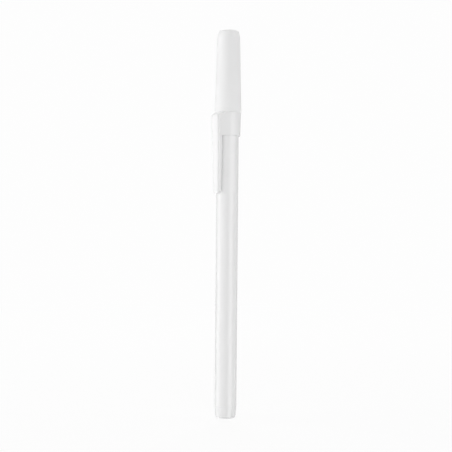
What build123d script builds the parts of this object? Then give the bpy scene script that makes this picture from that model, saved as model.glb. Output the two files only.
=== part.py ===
from build123d import *
from math import acos, atan2, cos, hypot, radians, sin, tan
import os

# Stick ballpoint pen with its cap on, in millimetres. The tail stands on Z = 0, +Z runs along the
# pen's axis to the end of the cap, and the clip faces -Y. Every piece is set out from the tail up.

# Tail plug
plug_head_length = 4.4
plug_seam_step = 0.03
plug_head_draft = 0.27
plug_edge_break = 0.6
plug_edge_share = 0.3
plug_stem_length = 8.0
plug_stem_lead = 0.15
plug_wall = 0.9
plug_end_wall = 2.0
plug_vent_radius = 0.5

# Barrel
barrel_radius = 4.25
barrel_length = 126.6
barrel_wall = 1.1
barrel_edge = 0.06
cap_land_length = 33.0
cap_land_draft = 0.03
nose_length = 12.0
nose_tip_radius = 3.3
nose_edge = 0.25
nose_bore_length = 12.5

# Ink tube and ink
tube_radius = 1.6
tube_wall = 0.55
tube_rear_room = 9.6
tube_air_length = 18.0
meniscus_depth = 0.35

# Tip holder
holder_plug_radius = 2.4
holder_plug_length = 12.0
holder_flange_radius = 3.0
holder_flange_height = 0.9
holder_ledge = 0.3
holder_cone_length = 6.6
holder_mouth_wall = 0.32
tube_socket_depth = 7.0
passage_radius = 0.5
passage_length = 3.0

# Metal point and its ball
point_shank_radius = 1.15
point_shoulder_rim = 0.2
point_shoulder_height = 0.5
point_cone_length = 3.0
point_lip_wall = 0.06
point_lip_height = 0.18
point_bore_radius = 0.55
point_seat_wall = 0.18
feed_radius = 0.24
feed_length = 0.9
groove_count = 5
groove_width = 0.1
groove_reach = 0.36
groove_height = 0.3
ball_radius = 0.5
ball_clearance = 0.015

# Cap, collar and cone
cap_mouth_depth = 10.55
cap_mouth_chamfer = 0.18
cap_bore_clearance = 0.08
cap_seat_clearance = 0.03
cap_seat_length = 6.0
cap_tip_room = 5.0
cap_end_wall = 1.5
cap_vent_radius = 1.2
collar_wall = 0.54
collar_flare = 0.19
collar_height = 8.9
collar_edge = 0.12
parting_height = 0.35
parting_step = 0.105
parting_undercut = 0.15
cone_draft = 0.71
end_round_height = 2.3
end_round_inset = 0.52
end_shoulder_round = 6.0
end_edge_round = 0.6

# Clip, moulded in one with the collar
clip_gap = 0.4
clip_length = 31.2
clip_root_thickness = 2.18
clip_end_thickness = 1.3
clip_root_half_width = 2.4
clip_end_half_width = 1.76
clip_draft_angle = 2.5
clip_edge_round = 0.9
clip_end_rise = 0.55
clip_end_round = 0.4
clip_shoulder_angle = 34.0
clip_shoulder_round = 0.4
flank_setback = 0.9
flank_bite = 0.03
nub_radius = 0.6
nub_gap = 0.12
nub_rise = 1.5
nub_inset = 0.45

overrun = 1.0

# Heights along the pen
barrel_foot_z = plug_head_length
nose_end_z = barrel_foot_z + barrel_length
nose_start_z = nose_end_z - nose_length
land_foot_z = nose_start_z - cap_land_length
holder_foot_z = nose_end_z - holder_plug_length
tube_front_z = holder_foot_z + tube_socket_depth
plug_stem_end_z = plug_head_length + plug_stem_length
tube_rear_z = plug_stem_end_z + tube_rear_room
ink_rear_z = tube_rear_z + tube_air_length
passage_end_z = tube_front_z + passage_length
holder_cone_z = nose_end_z + holder_flange_height
holder_mouth_z = holder_cone_z + holder_cone_length
point_cone_z = holder_mouth_z + point_shoulder_height
ball_z = point_cone_z + point_cone_length
rim_z = nose_start_z - cap_mouth_depth
collar_top_z = rim_z + collar_height
crest_z = collar_top_z + parting_height
cavity_end_z = ball_z + ball_radius + cap_tip_room
cap_end_z = cavity_end_z + cap_end_wall
clip_end_z = collar_top_z - clip_length

# Radii that follow from the fits
barrel_bore_radius = barrel_radius - barrel_wall
land_radius = barrel_radius - cap_land_draft
tube_bore_radius = tube_radius - tube_wall
cap_bore_radius = barrel_radius + cap_bore_clearance
rim_radius = cap_bore_radius + collar_wall
collar_top_radius = rim_radius + collar_flare
crest_radius = collar_top_radius + parting_step
cone_end_radius = crest_radius - cone_draft
ball_seat_radius = ball_radius + ball_clearance
clip_inner = barrel_radius + clip_gap
clip_outer = clip_inner + clip_root_thickness
shoulder_foot_z = collar_top_z - (clip_outer - collar_top_radius) * tan(radians(clip_shoulder_angle))


def turned(corners, rounds=()):
    """Solid turned about Z from (radius, height) corners, some of them rounded."""
    face = make_face(Polyline(*corners, close=True))
    for corner, radius in rounds:
        vertex = face.vertices().sort_by_distance(corner)[0]
        face = fillet(vertex, radius)
    return revolve(Plane.XZ * face, Axis.Z)


def nose_radius_at(z):
    """Outer radius of the barrel's tapered nose at a height."""
    share = (z - nose_start_z) / nose_length
    return land_radius + (nose_tip_radius - land_radius) * share


def make_tail_plug():
    """Stopper pressed into the barrel's tail, with a vented flat end to stand on."""
    head_radius = barrel_radius - plug_seam_step
    foot_radius = head_radius - plug_head_draft
    cup_radius = barrel_bore_radius - plug_wall
    corners = [
        (plug_vent_radius, 0),
        (foot_radius - plug_edge_break, 0),
        (foot_radius - plug_edge_break * plug_edge_share, plug_edge_break * plug_edge_share),
        (foot_radius, plug_edge_break),
        (head_radius, plug_head_length),
        (barrel_bore_radius, plug_head_length),
        (barrel_bore_radius, plug_stem_end_z - plug_stem_lead),
        (barrel_bore_radius - plug_stem_lead, plug_stem_end_z),
        (cup_radius, plug_stem_end_z),
        (cup_radius, plug_end_wall),
        (plug_vent_radius, plug_end_wall),
    ]
    return turned(corners)


def make_barrel():
    """Straight round barrel with a drafted land for the cap and a tapered nose."""
    bore_step_z = nose_end_z - nose_bore_length
    corners = [
        (barrel_bore_radius, barrel_foot_z),
        (barrel_radius - barrel_edge, barrel_foot_z),
        (barrel_radius, barrel_foot_z + barrel_edge),
        (barrel_radius, land_foot_z),
        (land_radius, nose_start_z),
        (nose_radius_at(nose_end_z - nose_edge), nose_end_z - nose_edge),
        (nose_tip_radius - nose_edge, nose_end_z),
        (holder_plug_radius, nose_end_z),
        (holder_plug_radius, bore_step_z),
        (barrel_bore_radius, bore_step_z),
    ]
    return turned(corners)


def make_ink_tube():
    """Plain extruded tube, held at its front by the tip holder and open at its rear."""
    corners = [
        (tube_bore_radius, tube_rear_z),
        (tube_radius, tube_rear_z),
        (tube_radius, tube_front_z),
        (tube_bore_radius, tube_front_z),
    ]
    return turned(corners)


def make_ink_charge():
    """Ink from its hollow rear face to the metal point's feed."""
    feed_z = ball_z - ball_seat_radius - feed_length
    corners = [
        (0, ink_rear_z),
        (tube_bore_radius, ink_rear_z),
        (tube_bore_radius, tube_front_z),
        (passage_radius, tube_front_z),
        (passage_radius, passage_end_z),
        (point_bore_radius, passage_end_z),
        (point_bore_radius, feed_z),
        (0, feed_z),
    ]
    hollow_radius = (tube_bore_radius**2 + meniscus_depth**2) / (2 * meniscus_depth)
    hollow = Pos(0, 0, ink_rear_z + meniscus_depth - hollow_radius) * Sphere(hollow_radius)
    return turned(corners) - hollow


def make_tip_holder():
    """Nose piece pressed into the barrel: tube socket behind, metal point in front."""
    cone_radius = holder_flange_radius - holder_ledge
    mouth_radius = point_shank_radius + point_shoulder_rim + holder_mouth_wall
    corners = [
        (tube_radius, holder_foot_z),
        (holder_plug_radius, holder_foot_z),
        (holder_plug_radius, nose_end_z),
        (holder_flange_radius, nose_end_z),
        (holder_flange_radius, holder_cone_z),
        (cone_radius, holder_cone_z),
        (mouth_radius, holder_mouth_z),
        (point_shank_radius, holder_mouth_z),
        (point_shank_radius, passage_end_z),
        (passage_radius, passage_end_z),
        (passage_radius, tube_front_z),
        (tube_radius, tube_front_z),
    ]
    return turned(corners)


def make_point_socket():
    """Turned metal point: shank, shoulder, cone and the rolled lip that keeps the ball."""
    lip_z = ball_z + point_lip_height
    lip_radius = (ball_seat_radius**2 - point_lip_height**2) ** 0.5 + point_lip_wall
    shoulder_radius = point_shank_radius + point_shoulder_rim
    seat_z = ball_z - ball_seat_radius
    feed_z = seat_z - feed_length
    corners = [
        (point_bore_radius, passage_end_z),
        (point_shank_radius, passage_end_z),
        (point_shank_radius, holder_mouth_z),
        (shoulder_radius, holder_mouth_z),
        (shoulder_radius, point_cone_z),
        (point_shank_radius, point_cone_z),
        (ball_seat_radius + point_seat_wall, ball_z),
        (lip_radius, lip_z),
        (0, lip_z),
        (0, feed_z),
        (point_bore_radius, feed_z),
    ]
    point = turned(corners)
    point -= Pos(0, 0, ball_z) * Sphere(ball_seat_radius)
    point -= Pos(0, 0, feed_z) * Cylinder(feed_radius, feed_length + ball_seat_radius, align=BASE)
    groove = Box(groove_reach, groove_width, groove_height, align=FROM_AXIS)
    turns = PolarLocations(0, groove_count, start_angle=90)
    return point - [Pos(0, 0, seat_z) * turn * groove for turn in turns]


def make_writing_ball():
    """Hard metal ball that rolls in the point."""
    return Pos(0, 0, ball_z) * Sphere(ball_radius)


def make_cone():
    """Upper cap: a cone drawn in to a nearly flat end, on an undercut parting line."""
    round_start_z = cap_end_z - end_round_height
    end_radius = cone_end_radius - end_round_inset
    groove_radius = collar_top_radius - parting_undercut
    corners = [
        (0, rim_z + collar_edge),
        (cap_bore_radius, rim_z + collar_edge),
        (groove_radius, collar_top_z),
        (crest_radius, crest_z),
        (cone_end_radius, round_start_z),
        (end_radius, cap_end_z),
        (0, cap_end_z),
    ]
    rounds = [
        ((cone_end_radius, round_start_z), end_shoulder_round),
        ((end_radius, cap_end_z), end_edge_round),
    ]
    return turned(corners, rounds)


def clip_thickness_at(z):
    """Thickness of the tapered clip at a height."""
    share = (shoulder_foot_z - z) / (shoulder_foot_z - clip_end_z)
    return clip_root_thickness - (clip_root_thickness - clip_end_thickness) * share


def flank_section(radius, z):
    """Plan of the clip's root: two flanks that run from the clip tangent to the round collar."""
    share = (collar_top_z - z) / clip_length
    widest = clip_root_half_width - (clip_root_half_width - clip_end_half_width) * share
    depth = clip_thickness_at(z) - flank_setback
    half_width = widest - depth * tan(radians(clip_draft_angle)) - flank_bite
    reach = clip_inner + depth
    bitten = radius - flank_bite
    spread = atan2(half_width, reach) + acos(bitten / hypot(half_width, reach))
    touch_x = bitten * sin(spread)
    touch_y = -bitten * cos(spread)
    corners = [(-touch_x, touch_y), (-half_width, -reach), (half_width, -reach), (touch_x, touch_y)]
    return Plane.XY.offset(z) * make_face(Polyline(*corners, close=True))


def across(corners):
    """Cutter that crosses the whole cap, from (y, z) corners seen from the side."""
    return extrude(Plane.YZ * make_face(Polyline(*corners, close=True)), crest_radius, both=True)


def shoulder_cut(lower):
    """Space above a slope from the collar's top out past the clip's face, lower by a given amount."""
    slope = radians(clip_shoulder_angle)
    start = collar_top_radius - lower / sin(slope)
    far = clip_outer + 2 * overrun
    corners = [
        (-start, collar_top_z),
        (-far, collar_top_z - (far - start) * tan(slope)),
        (-far, collar_top_z + overrun),
        (-start, collar_top_z + overrun),
    ]
    return across(corners)


def face_cut():
    """Space beyond the clip's outer face, which tapers in towards the end."""
    top_z = collar_top_z + overrun
    foot_z = clip_end_z - overrun
    far = clip_outer + 2 * overrun
    corners = [
        (-clip_inner - clip_thickness_at(top_z), top_z),
        (-clip_inner - clip_thickness_at(foot_z), foot_z),
        (-far, foot_z),
        (-far, top_z),
    ]
    return across(corners)


def lead_cut():
    """Space under the clip's end, which rises towards the barrel so that cloth slips in."""
    slope = clip_end_rise / clip_end_thickness
    low_z = clip_end_z - slope * overrun
    high_z = clip_end_z + clip_end_rise + slope * overrun
    outer = clip_inner + clip_end_thickness + overrun
    inner = clip_inner - overrun
    return across([(-outer, low_z), (-inner, high_z), (-inner, low_z)])


def make_collar():
    """Glossy lower ring of the cap with the clip's flanks growing out of it."""
    ring = turned(
        [
            (0, rim_z),
            (rim_radius - collar_edge, rim_z),
            (rim_radius, rim_z + collar_edge),
            (collar_top_radius, collar_top_z),
            (0, collar_top_z),
        ]
    )
    sections = [flank_section(rim_radius, rim_z), flank_section(collar_top_radius, collar_top_z)]
    flanks = loft(sections, ruled=True)
    return ring + (flanks - shoulder_cut(clip_shoulder_round))


def make_clip():
    """Tapered clip with soft outer edges, a sloping shoulder and a nub that grips cloth."""
    inner_face = Plane.XZ.offset(clip_inner)
    front = [
        (-clip_end_half_width, clip_end_z),
        (clip_end_half_width, clip_end_z),
        (clip_root_half_width, collar_top_z),
        (-clip_root_half_width, collar_top_z),
    ]
    block = extrude(inner_face * make_face(Polyline(*front, close=True)), clip_root_thickness + overrun)
    sides = block.faces().sort_by(Axis.X)
    block = draft([sides[0], sides[-1]], inner_face, clip_draft_angle)
    clip = block - face_cut() - shoulder_cut(0) - lead_cut()
    face = clip.faces().sort_by(Axis.Y)[0]
    clip = fillet(face.edges().filter_by(Axis.X, reverse=True), clip_edge_round)
    end = clip.faces().sort_by(Axis.Z)[0]
    clip = fillet(end.edges().sort_by(Axis.Y)[:-1], clip_end_round)
    shoulder = clip.faces().sort_by(Axis.Z)[-2]
    clip = fillet(shoulder.edges().sort_by(Axis.Y)[:-1], clip_shoulder_round)
    nub_length = 2 * (clip_end_half_width - nub_inset)
    nub_y = -(barrel_radius + nub_gap + nub_radius)
    nub = Rot(0, 90, 0) * Cylinder(nub_radius, nub_length)
    return clip + Pos(0, nub_y, clip_end_z + nub_rise) * nub


def make_cap_hollow():
    """Inside of the cap: bore, seat on the barrel's nose, cavity for the point and end vent."""
    nose_taper = (land_radius - nose_tip_radius) / nose_length
    seat_foot_z = nose_start_z - (cap_bore_radius - land_radius - cap_seat_clearance) / nose_taper
    cavity_z = nose_start_z + cap_seat_length
    cavity_radius = nose_radius_at(cavity_z) + cap_seat_clearance
    corners = [
        (0, rim_z - overrun),
        (cap_bore_radius + cap_mouth_chamfer, rim_z - overrun),
        (cap_bore_radius + cap_mouth_chamfer, rim_z),
        (cap_bore_radius, rim_z + cap_mouth_chamfer),
        (cap_bore_radius, seat_foot_z),
        (cavity_radius, cavity_z),
        (cavity_radius, cavity_end_z),
        (0, cavity_end_z),
    ]
    vent = Pos(0, 0, cavity_end_z - overrun) * Cylinder(
        cap_vent_radius, cap_end_wall + 2 * overrun, align=BASE
    )
    return turned(corners) + vent


def make_cap():
    """Whole cap moulding: cone, collar and clip in one, hollowed for the pen's nose."""
    return make_cone() + make_collar() + make_clip() - make_cap_hollow()


BASE = (Align.CENTER, Align.CENTER, Align.MIN)
FROM_AXIS = (Align.MIN, Align.CENTER, Align.CENTER)

makers = {
    "tail_plug": make_tail_plug,
    "barrel": make_barrel,
    "ink_tube": make_ink_tube,
    "ink_charge": make_ink_charge,
    "tip_holder": make_tip_holder,
    "point_socket": make_point_socket,
    "writing_ball": make_writing_ball,
    "cap": make_cap,
}

os.makedirs("parts", exist_ok=True)
for node, make in makers.items():
    export_step(make(), f"parts/{node}.step")
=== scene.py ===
import logging
import math
from dataclasses import dataclass, field
from enum import Enum

import bpy
from mathutils import Matrix, Vector

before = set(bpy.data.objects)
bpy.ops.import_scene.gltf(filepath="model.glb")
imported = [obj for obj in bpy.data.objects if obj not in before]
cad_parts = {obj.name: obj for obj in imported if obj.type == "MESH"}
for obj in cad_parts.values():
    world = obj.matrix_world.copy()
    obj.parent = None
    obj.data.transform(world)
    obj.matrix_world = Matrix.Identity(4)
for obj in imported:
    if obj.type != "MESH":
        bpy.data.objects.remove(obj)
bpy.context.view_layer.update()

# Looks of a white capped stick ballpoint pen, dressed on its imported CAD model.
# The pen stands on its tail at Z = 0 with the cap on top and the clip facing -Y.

log = logging.getLogger("pen")

MM = 0.001
# Sockets of the Mix node for colours, which go by number because its other forms share their names.
MIX_LEVEL, MIX_LOW, MIX_HIGH, MIX_COLOUR = 0, 6, 7, 2
# At scale 1 the wave texture runs through this many radians in a metre.
WAVE_RADIANS = 20.0
# A rectangular lamp shines with its watts spread over this many times its area.
LAMP_SPREAD = 4.0


class Reach(Enum):
    """What a studio lamp acts on."""

    SURFACE = "surface"
    REFLECTION = "reflection"


def linear(srgb_hex: str) -> tuple[float, float, float, float]:
    """Linear colour of an sRGB hex value.

    Args:
        srgb_hex: Six hex digits, red first.

    Returns:
        Red, green, blue and an alpha of 1.
    """
    parts = [int(srgb_hex[i:i + 2], 16) / 255 for i in (0, 2, 4)]
    red, green, blue = [c / 12.92 if c <= 0.04045 else ((c + 0.055) / 1.055) ** 2.4 for c in parts]
    return red, green, blue, 1.0


def per_mm(size_mm: float) -> float:
    """Texture scale, in repeats a metre, whose features are one given size in millimetres."""
    return 1 / (size_mm * MM)


def add_node(
    tree: bpy.types.NodeTree, kind: str, inputs: dict | None = None, **settings
) -> bpy.types.Node:
    """Adds one shader node.

    Args:
        tree: Node tree that takes the node.
        kind: Blender's name for the kind of node.
        inputs: Input name or number, with a value or an output socket to link from.
        **settings: Properties of the node, set before its inputs.

    Returns:
        The new node.
    """
    made = tree.nodes.new(kind)
    for name, value in settings.items():
        setattr(made, name, value)
    for socket, value in (inputs or {}).items():
        if isinstance(value, bpy.types.NodeSocket):
            tree.links.new(value, made.inputs[socket])
        else:
            made.inputs[socket].default_value = value
    return made


def heading(bearing_deg: float, rise_deg: float = 0.0) -> Vector:
    """Direction out from the pen's axis.

    Args:
        bearing_deg: Turn from -Y, the clip's side, towards +X.
        rise_deg: Angle above level.

    Returns:
        A vector of length 1.
    """
    turn, rise = math.radians(bearing_deg), math.radians(rise_deg)
    level = math.cos(rise)
    return Vector((math.sin(turn) * level, -math.cos(turn) * level, math.sin(rise)))


def new_material(name: str) -> tuple[bpy.types.Material, bpy.types.NodeTree]:
    """Empty node material.

    Args:
        name: The material's name.

    Returns:
        The material and its node tree.
    """
    material = bpy.data.materials.new(name)
    material.use_nodes = True
    material.node_tree.nodes.clear()
    return material, material.node_tree


def background_level(tree: bpy.types.NodeTree) -> bpy.types.NodeSocket:
    """Level that tells rays that show the background from rays that light the pen.

    Args:
        tree: Node tree that takes the nodes.

    Returns:
        1 for rays from the camera, in gloss and through glass, and 0 for all others.
    """
    path = add_node(tree, "ShaderNodeLightPath").outputs
    seen = add_node(tree, "ShaderNodeMath", {0: path["Is Camera Ray"], 1: path["Is Glossy Ray"]})
    shown = add_node(
        tree, "ShaderNodeMath", {0: seen.outputs[0], 1: path["Is Transmission Ray"]}, use_clamp=True
    )
    return shown.outputs[0]


def dress(node: str, material: bpy.types.Material) -> None:
    """Puts one material on a whole CAD node.

    Args:
        node: The node's name.
        material: Its finish.
    """
    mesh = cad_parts[node].data
    mesh.materials.clear()
    mesh.materials.append(material)
    log.info("%s dressed in %s", node, material.name)


@dataclass(frozen=True)
class PolishedPolystyrene:
    """White polystyrene from a polished mould: a clear gloss over a very even milky white."""

    name: str = "white_polystyrene_polished"
    white: str = "F4F4F4"
    shade: str = "F2F2F2"
    ior: float = 1.55
    roughness_low: float = 0.12
    roughness_high: float = 0.14
    cloud_mm: float = 16.0
    cloud_detail: float = 2.0
    handling_mm: float = 12.0
    handling_detail: float = 1.0
    # Melt that cools on its way up the mould leaves a slow ripple that bends the edges of reflections.
    flow_mm: float = 6.0
    flow_depth_mm: float = 0.02
    flow_detail: float = 0.0

    def build(self) -> bpy.types.Material:
        """Material with faint clouding, handling marks in the gloss and the melt's slow ripple.

        Returns:
            The material.
        """
        material, tree = new_material(self.name)
        place = add_node(tree, "ShaderNodeTexCoord").outputs["Object"]
        cloud = add_node(
            tree,
            "ShaderNodeTexNoise",
            {"Vector": place, "Scale": per_mm(self.cloud_mm), "Detail": self.cloud_detail},
        )
        tone = add_node(
            tree,
            "ShaderNodeMix",
            {
                MIX_LEVEL: cloud.outputs["Fac"],
                MIX_LOW: linear(self.white),
                MIX_HIGH: linear(self.shade),
            },
            data_type="RGBA",
        )
        handling = add_node(
            tree,
            "ShaderNodeTexNoise",
            {"Vector": place, "Scale": per_mm(self.handling_mm), "Detail": self.handling_detail},
        )
        gloss = add_node(
            tree,
            "ShaderNodeMapRange",
            {
                "Value": handling.outputs["Fac"],
                "To Min": self.roughness_low,
                "To Max": self.roughness_high,
            },
        )
        flow = add_node(
            tree,
            "ShaderNodeTexNoise",
            {"Vector": place, "Scale": per_mm(self.flow_mm), "Detail": self.flow_detail},
        )
        rippled = add_node(
            tree, "ShaderNodeBump", {"Height": flow.outputs["Fac"], "Distance": self.flow_depth_mm * MM}
        )
        shader = add_node(
            tree,
            "ShaderNodeBsdfPrincipled",
            {
                "Base Color": tone.outputs[MIX_COLOUR],
                "Roughness": gloss.outputs["Result"],
                "Normal": rippled.outputs["Normal"],
                "IOR": self.ior,
            },
        )
        add_node(tree, "ShaderNodeOutputMaterial", {"Surface": shader.outputs["BSDF"]})
        return material


@dataclass(frozen=True)
class TwoFinishPolypropylene:
    """White polypropylene of the cap: spark-eroded matt cone, polished collar and clip below it."""

    name: str = "white_polypropylene_matt_and_polished"
    parting_mm: float = 117.5
    parting_half_mm: float = 0.05
    white_polished: str = "F4F4F4"
    white_matt: str = "F6F6F6"
    shade: str = "F2F2F2"
    ior: float = 1.49
    roughness_polished: float = 0.13
    roughness_matt: float = 0.8
    cloud_mm: float = 16.0
    cloud_detail: float = 2.0
    # The same slow ripple of cooling melt as on the barrel.
    flow_mm: float = 6.0
    flow_depth_mm: float = 0.02
    flow_detail: float = 0.0
    # Real spark grain is about 0.08 mm across; it is drawn at 0.3 mm so that it shows.
    grain_mm: float = 0.3
    grain_depth_mm: float = 0.006
    grain_detail: float = 2.0

    def build(self) -> bpy.types.Material:
        """Material that changes from polished to matt at the moulded parting line.

        Returns:
            The material.
        """
        material, tree = new_material(self.name)
        place = add_node(tree, "ShaderNodeTexCoord").outputs["Object"]
        split = add_node(tree, "ShaderNodeSeparateXYZ", {"Vector": place})
        matt = add_node(
            tree,
            "ShaderNodeMapRange",
            {
                "Value": split.outputs["Z"],
                "From Min": (self.parting_mm - self.parting_half_mm) * MM,
                "From Max": (self.parting_mm + self.parting_half_mm) * MM,
            },
        ).outputs["Result"]
        white = add_node(
            tree,
            "ShaderNodeMix",
            {
                MIX_LEVEL: matt,
                MIX_LOW: linear(self.white_polished),
                MIX_HIGH: linear(self.white_matt),
            },
            data_type="RGBA",
        )
        cloud = add_node(
            tree,
            "ShaderNodeTexNoise",
            {"Vector": place, "Scale": per_mm(self.cloud_mm), "Detail": self.cloud_detail},
        )
        tone = add_node(
            tree,
            "ShaderNodeMix",
            {
                MIX_LEVEL: cloud.outputs["Fac"],
                MIX_LOW: white.outputs[MIX_COLOUR],
                MIX_HIGH: linear(self.shade),
            },
            data_type="RGBA",
        )
        gloss = add_node(
            tree,
            "ShaderNodeMapRange",
            {"Value": matt, "To Min": self.roughness_polished, "To Max": self.roughness_matt},
        )
        flow = add_node(
            tree,
            "ShaderNodeTexNoise",
            {"Vector": place, "Scale": per_mm(self.flow_mm), "Detail": self.flow_detail},
        )
        rippled = add_node(
            tree, "ShaderNodeBump", {"Height": flow.outputs["Fac"], "Distance": self.flow_depth_mm * MM}
        )
        grain = add_node(
            tree,
            "ShaderNodeTexNoise",
            {"Vector": place, "Scale": per_mm(self.grain_mm), "Detail": self.grain_detail},
        )
        grained = add_node(
            tree,
            "ShaderNodeBump",
            {
                "Strength": matt,
                "Height": grain.outputs["Fac"],
                "Distance": self.grain_depth_mm * MM,
                "Normal": rippled.outputs["Normal"],
            },
        )
        shader = add_node(
            tree,
            "ShaderNodeBsdfPrincipled",
            {
                "Base Color": tone.outputs[MIX_COLOUR],
                "Roughness": gloss.outputs["Result"],
                "Normal": grained.outputs["Normal"],
                "IOR": self.ior,
            },
        )
        add_node(tree, "ShaderNodeOutputMaterial", {"Surface": shader.outputs["BSDF"]})
        return material


@dataclass(frozen=True)
class TurnedBrass:
    """Brass turned on a lathe: warm yellow metal with fine rings round the point's axis."""

    name: str = "brass_turned"
    bright: str = "DDBB74"
    dull: str = "C9A45C"
    roughness: float = 0.24
    # Real feed marks are about 0.02 mm apart; they are drawn at 0.09 mm so that they show.
    ring_mm: float = 0.09
    ring_depth_mm: float = 0.0025
    ring_waver: float = 0.4

    def build(self) -> bpy.types.Material:
        """Metal material with turning rings stacked along the pen's axis.

        Returns:
            The material.
        """
        material, tree = new_material(self.name)
        place = add_node(tree, "ShaderNodeTexCoord").outputs["Object"]
        one_ring_a_pitch = per_mm(self.ring_mm) * math.tau / WAVE_RADIANS
        rings = add_node(
            tree,
            "ShaderNodeTexWave",
            {"Vector": place, "Scale": one_ring_a_pitch, "Distortion": self.ring_waver},
            wave_type="BANDS",
            bands_direction="Z",
        )
        tone = add_node(
            tree,
            "ShaderNodeMix",
            {
                MIX_LEVEL: rings.outputs["Fac"],
                MIX_LOW: linear(self.dull),
                MIX_HIGH: linear(self.bright),
            },
            data_type="RGBA",
        )
        cut = add_node(
            tree, "ShaderNodeBump", {"Height": rings.outputs["Fac"], "Distance": self.ring_depth_mm * MM}
        )
        shader = add_node(
            tree,
            "ShaderNodeBsdfPrincipled",
            {
                "Base Color": tone.outputs[MIX_COLOUR],
                "Metallic": 1.0,
                "Roughness": self.roughness,
                "Normal": cut.outputs["Normal"],
            },
        )
        add_node(tree, "ShaderNodeOutputMaterial", {"Surface": shader.outputs["BSDF"]})
        return material


@dataclass(frozen=True)
class LappedCarbide:
    """Tungsten carbide lapped to a ball: dark grey metal, nearly mirror bright."""

    name: str = "tungsten_carbide_lapped"
    light: str = "9A9A9D"
    dark: str = "8A8A8E"
    roughness: float = 0.14
    # Real sintered grains are about 0.001 mm across; they are drawn at 0.08 mm so that they show.
    grain_mm: float = 0.08
    grain_detail: float = 2.0

    def build(self) -> bpy.types.Material:
        """Metal material with the fine mottle of sintered grains.

        Returns:
            The material.
        """
        material, tree = new_material(self.name)
        place = add_node(tree, "ShaderNodeTexCoord").outputs["Object"]
        grain = add_node(
            tree,
            "ShaderNodeTexNoise",
            {"Vector": place, "Scale": per_mm(self.grain_mm), "Detail": self.grain_detail},
        )
        tone = add_node(
            tree,
            "ShaderNodeMix",
            {
                MIX_LEVEL: grain.outputs["Fac"],
                MIX_LOW: linear(self.light),
                MIX_HIGH: linear(self.dark),
            },
            data_type="RGBA",
        )
        shader = add_node(
            tree,
            "ShaderNodeBsdfPrincipled",
            {"Base Color": tone.outputs[MIX_COLOUR], "Metallic": 1.0, "Roughness": self.roughness},
        )
        add_node(tree, "ShaderNodeOutputMaterial", {"Surface": shader.outputs["BSDF"]})
        return material


@dataclass(frozen=True)
class ExtrudedTube:
    """Natural polypropylene drawn into a tube: cloudy, half clear, with faint draw lines."""

    name: str = "natural_polypropylene_extruded"
    pale: str = "E6EAEA"
    cloudy: str = "D8DEDE"
    ior: float = 1.49
    transmission: float = 0.55
    roughness: float = 0.38
    line_mm: float = 0.25
    line_depth_mm: float = 0.002
    line_detail: float = 2.0
    # The lines run on for fifty times their width along the tube.
    stretch: float = 0.02

    def build(self) -> bpy.types.Material:
        """Half-clear material with lines drawn out along the tube.

        Returns:
            The material.
        """
        material, tree = new_material(self.name)
        place = add_node(tree, "ShaderNodeTexCoord").outputs["Object"]
        drawn = add_node(tree, "ShaderNodeMapping", {"Vector": place, "Scale": (1, 1, self.stretch)})
        lines = add_node(
            tree,
            "ShaderNodeTexNoise",
            {
                "Vector": drawn.outputs["Vector"],
                "Scale": per_mm(self.line_mm),
                "Detail": self.line_detail,
            },
        )
        tone = add_node(
            tree,
            "ShaderNodeMix",
            {
                MIX_LEVEL: lines.outputs["Fac"],
                MIX_LOW: linear(self.pale),
                MIX_HIGH: linear(self.cloudy),
            },
            data_type="RGBA",
        )
        relief = add_node(
            tree, "ShaderNodeBump", {"Height": lines.outputs["Fac"], "Distance": self.line_depth_mm * MM}
        )
        shader = add_node(
            tree,
            "ShaderNodeBsdfPrincipled",
            {
                "Base Color": tone.outputs[MIX_COLOUR],
                "Roughness": self.roughness,
                "IOR": self.ior,
                "Transmission Weight": self.transmission,
                "Normal": relief.outputs["Normal"],
            },
        )
        add_node(tree, "ShaderNodeOutputMaterial", {"Surface": shader.outputs["BSDF"]})
        return material


@dataclass(frozen=True)
class OilInk:
    """Thick black oil ink: nearly black with a violet cast and a wet gloss."""

    name: str = "oil_ink_black"
    deep: str = "0C0C12"
    streak: str = "14131C"
    ior: float = 1.48
    roughness: float = 0.08
    streak_mm: float = 1.4
    streak_detail: float = 3.0

    def build(self) -> bpy.types.Material:
        """Dark glossy material with slow streaks of pigment.

        Returns:
            The material.
        """
        material, tree = new_material(self.name)
        place = add_node(tree, "ShaderNodeTexCoord").outputs["Object"]
        streaks = add_node(
            tree,
            "ShaderNodeTexNoise",
            {"Vector": place, "Scale": per_mm(self.streak_mm), "Detail": self.streak_detail},
        )
        tone = add_node(
            tree,
            "ShaderNodeMix",
            {
                MIX_LEVEL: streaks.outputs["Fac"],
                MIX_LOW: linear(self.deep),
                MIX_HIGH: linear(self.streak),
            },
            data_type="RGBA",
        )
        shader = add_node(
            tree,
            "ShaderNodeBsdfPrincipled",
            {"Base Color": tone.outputs[MIX_COLOUR], "Roughness": self.roughness, "IOR": self.ior},
        )
        add_node(tree, "ShaderNodeOutputMaterial", {"Surface": shader.outputs["BSDF"]})
        return material


@dataclass
class Cap:
    """Push-on cap: matt cone, polished collar and clip in one moulding."""

    finish: TwoFinishPolypropylene = field(default_factory=TwoFinishPolypropylene)

    def build(self) -> None:
        """Dresses the cap."""
        dress("cap", self.finish.build())


@dataclass
class Barrel:
    """Barrel with the tail plug pressed into it and the tip holder in its nose."""

    finish: PolishedPolystyrene = field(default_factory=PolishedPolystyrene)

    def build(self) -> None:
        """Dresses the barrel, its tail plug and the tip holder."""
        material = self.finish.build()
        for node in ("barrel", "tail_plug", "tip_holder"):
            dress(node, material)


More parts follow.
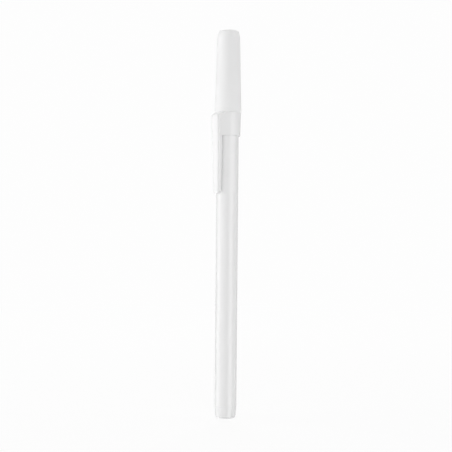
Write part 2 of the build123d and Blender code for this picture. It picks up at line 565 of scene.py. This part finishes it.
@dataclass
class Refill:
    """Ink tube, ink, metal point and ball."""

    tube: ExtrudedTube = field(default_factory=ExtrudedTube)
    ink: OilInk = field(default_factory=OilInk)
    brass: TurnedBrass = field(default_factory=TurnedBrass)
    carbide: LappedCarbide = field(default_factory=LappedCarbide)

    def build(self) -> None:
        """Dresses the four pieces of the refill."""
        dress("ink_tube", self.tube.build())
        dress("ink_charge", self.ink.build())
        dress("point_socket", self.brass.build())
        dress("writing_ball", self.carbide.build())


@dataclass
class Softbox:
    """One area lamp set out from the pen's middle by its bearing from the camera and its rise."""

    name: str
    bearing_deg: float
    rise_deg: float
    radiance: float
    width_mm: float = 500.0
    tall_mm: float = 500.0
    distance_mm: float = 620.0
    reach: Reach = Reach.SURFACE

    def build(self, camera_azimuth_deg: float, aim_mm: float) -> bpy.types.Object:
        """Adds the lamp, facing the pen's middle.

        Args:
            camera_azimuth_deg: The camera's bearing round the pen.
            aim_mm: Height on the pen's axis that the lamp faces.

        Returns:
            The lamp.
        """
        outward = heading(camera_azimuth_deg + self.bearing_deg, self.rise_deg)
        data = bpy.data.lights.new(self.name, "AREA")
        data.shape = "RECTANGLE"
        data.size = self.width_mm * MM
        data.size_y = self.tall_mm * MM
        data.energy = self.radiance * LAMP_SPREAD * data.size * data.size_y
        lamp = bpy.data.objects.new(self.name, data)
        bpy.context.scene.collection.objects.link(lamp)
        lamp.location = (outward * self.distance_mm + Vector((0, 0, aim_mm))) * MM
        lamp.rotation_euler = outward.to_track_quat("Z", "Y").to_euler()
        lamp.visible_diffuse = self.reach is Reach.SURFACE
        lamp.visible_glossy = self.reach is Reach.REFLECTION
        lamp.visible_transmission = False
        return lamp


@dataclass
class Flag:
    """Grey card behind the pen that only gloss sees: it draws the pen's outline on the white ground."""

    name: str
    bearing_deg: float
    grey: float
    distance_mm: float = 300.0
    height_mm: float = 75.0
    width_mm: float = 260.0
    tall_mm: float = 900.0

    def build(self, camera_azimuth_deg: float) -> bpy.types.Object:
        """Adds the card, facing the pen's axis.

        Args:
            camera_azimuth_deg: The camera's bearing round the pen.

        Returns:
            The card.
        """
        outward = heading(camera_azimuth_deg + self.bearing_deg)
        bpy.ops.object.select_all(action="DESELECT")
        bpy.ops.mesh.primitive_plane_add(size=1)
        card = bpy.context.object
        card.name = self.name
        size = Matrix.Diagonal((self.width_mm * MM, self.tall_mm * MM, 1, 1))
        aim = outward.to_track_quat("Z", "Y").to_matrix().to_4x4()
        spot = outward * self.distance_mm + Vector((0, 0, self.height_mm))
        card.data.transform(Matrix.Translation(spot * MM) @ aim @ size)
        material, tree = new_material("flag_grey")
        grey = add_node(tree, "ShaderNodeEmission", {"Strength": self.grey})
        add_node(tree, "ShaderNodeOutputMaterial", {"Surface": grey.outputs[0]})
        card.data.materials.append(material)
        card.visible_camera = False
        card.visible_diffuse = False
        card.visible_transmission = False
        card.visible_shadow = False
        return card


@dataclass
class Studio:
    """White studio: camera at the photograph's viewpoint, soft lamps, plain floor and white world."""

    azimuth_deg: float = 49.0
    distance_mm: float = 310.0
    eye_height_mm: float = 73.8
    lens_mm: float = 63.8
    sensor_mm: float = 36.0
    near_mm: float = 10.0
    pen_right_mm: float = 0.38
    lean_deg: float = 0.504
    aim_mm: float = 75.0
    ambient: float = 0.27
    white: float = 0.985
    floor_side_mm: float = 4000.0
    floor_drop_mm: float = 0.05
    floor_colour: str = "F3F3F3"
    floor_hold: float = 0.86
    floor_lift: float = 1.015
    shadow_near_mm: float = 60.0
    shadow_far_mm: float = 420.0

    def build(self) -> None:
        """Adds the camera, the lamps, the world and the floor."""
        self.add_camera()
        softboxes = (
            Softbox("key_softbox", bearing_deg=-95, rise_deg=3, radiance=2.22, width_mm=420, tall_mm=640),
            Softbox("left_fill", bearing_deg=-45, rise_deg=10, radiance=0.3, width_mm=300, tall_mm=640),
            Softbox("front_fill", bearing_deg=6, rise_deg=8, radiance=1.54),
            Softbox("right_fill", bearing_deg=105, rise_deg=12, radiance=0.96, width_mm=420, tall_mm=640),
            Softbox("back_fill", bearing_deg=180, rise_deg=30, radiance=1.35),
            Softbox("top_fill", bearing_deg=0, rise_deg=88, radiance=0.9),
            Softbox(
                "left_sheen",
                bearing_deg=-93,
                rise_deg=0,
                radiance=0.35,
                width_mm=408,
                tall_mm=700,
                distance_mm=400,
                reach=Reach.REFLECTION,
            ),
            Softbox(
                "right_sheen",
                bearing_deg=44,
                rise_deg=0,
                radiance=1.45,
                width_mm=300,
                tall_mm=700,
                distance_mm=400,
                reach=Reach.REFLECTION,
            ),
        )
        for softbox in softboxes:
            softbox.build(self.azimuth_deg, self.aim_mm)
        flags = (
            Flag("left_flag", bearing_deg=-134, grey=0.5),
            Flag("right_flag", bearing_deg=134, grey=0.66),
        )
        for flag in flags:
            flag.build(self.azimuth_deg)
        self.add_world()
        self.add_floor()

    def add_camera(self) -> bpy.types.Object:
        """Level camera with the photograph's small roll.

        Returns:
            The camera, also set as the scene's.
        """
        back = heading(self.azimuth_deg)
        right = Vector((0, 0, 1)).cross(back)
        data = bpy.data.cameras.new("photo_camera")
        data.sensor_width = self.sensor_mm
        data.lens = self.lens_mm
        data.clip_start = self.near_mm * MM
        camera = bpy.data.objects.new("photo_camera", data)
        bpy.context.scene.collection.objects.link(camera)
        spot = back * self.distance_mm - right * self.pen_right_mm + Vector((0, 0, self.eye_height_mm))
        aim = back.to_track_quat("Z", "Y").to_matrix().to_4x4()
        lean = Matrix.Rotation(math.radians(self.lean_deg), 4, "Z")
        camera.matrix_world = Matrix.Translation(spot * MM) @ aim @ lean
        bpy.context.scene.camera = camera
        return camera

    def add_world(self) -> None:
        """World that lights the pen evenly and is white to the camera, to gloss and to glass."""
        world = bpy.data.worlds.new("white_studio")
        bpy.context.scene.world = world
        world.use_nodes = True
        tree = world.node_tree
        tree.nodes.clear()
        shown = background_level(tree)
        level = add_node(
            tree,
            "ShaderNodeMapRange",
            {"Value": shown, "To Min": self.ambient, "To Max": self.white},
        )
        sky = add_node(
            tree, "ShaderNodeBackground", {"Color": (1, 1, 1, 1), "Strength": level.outputs["Result"]}
        )
        add_node(tree, "ShaderNodeOutputWorld", {"Surface": sky.outputs["Background"]})

    def add_floor(self) -> bpy.types.Object:
        """White floor that keeps a faint shadow of the pen.

        Returns:
            The floor.
        """
        bpy.ops.object.select_all(action="DESELECT")
        bpy.ops.mesh.primitive_plane_add(
            size=self.floor_side_mm * MM, location=(0, 0, -self.floor_drop_mm * MM)
        )
        floor = bpy.context.object
        floor.name = "studio_floor"
        floor.visible_glossy = False
        floor.visible_shadow = False
        material, tree = new_material("paper_sweep_white")
        shown = background_level(tree)
        place = add_node(tree, "ShaderNodeTexCoord").outputs["Object"]
        away = add_node(tree, "ShaderNodeVectorMath", {0: place}, operation="LENGTH")
        far = add_node(
            tree,
            "ShaderNodeMapRange",
            {
                "Value": away.outputs["Value"],
                "From Min": self.shadow_near_mm * MM,
                "From Max": self.shadow_far_mm * MM,
            },
            interpolation_type="SMOOTHSTEP",
        ).outputs["Result"]
        hold = add_node(
            tree, "ShaderNodeMapRange", {"Value": far, "To Min": self.floor_hold, "To Max": 1.0}
        )
        level = add_node(
            tree, "ShaderNodeMapRange", {"Value": far, "To Min": self.floor_lift, "To Max": self.white}
        )
        held = add_node(
            tree, "ShaderNodeMath", {0: shown, 1: hold.outputs["Result"]}, operation="MULTIPLY"
        )
        paper = add_node(tree, "ShaderNodeBsdfDiffuse", {"Color": linear(self.floor_colour)})
        glow = add_node(tree, "ShaderNodeEmission", {"Strength": level.outputs["Result"]})
        mixed = add_node(
            tree,
            "ShaderNodeMixShader",
            {0: held.outputs[0], 1: paper.outputs[0], 2: glow.outputs[0]},
        )
        add_node(tree, "ShaderNodeOutputMaterial", {"Surface": mixed.outputs[0]})
        floor.data.materials.append(material)
        return floor


def main() -> None:
    """Dresses the pen from the tail up and sets the studio round it."""
    logging.basicConfig(level=logging.INFO, format="%(name)s: %(message)s")
    bpy.context.scene.view_settings.view_transform = "Standard"
    for assembly in (Barrel(), Refill(), Cap(), Studio()):
        assembly.build()
        log.info("%s done", type(assembly).__name__)


if __name__ == "__main__":
    main()
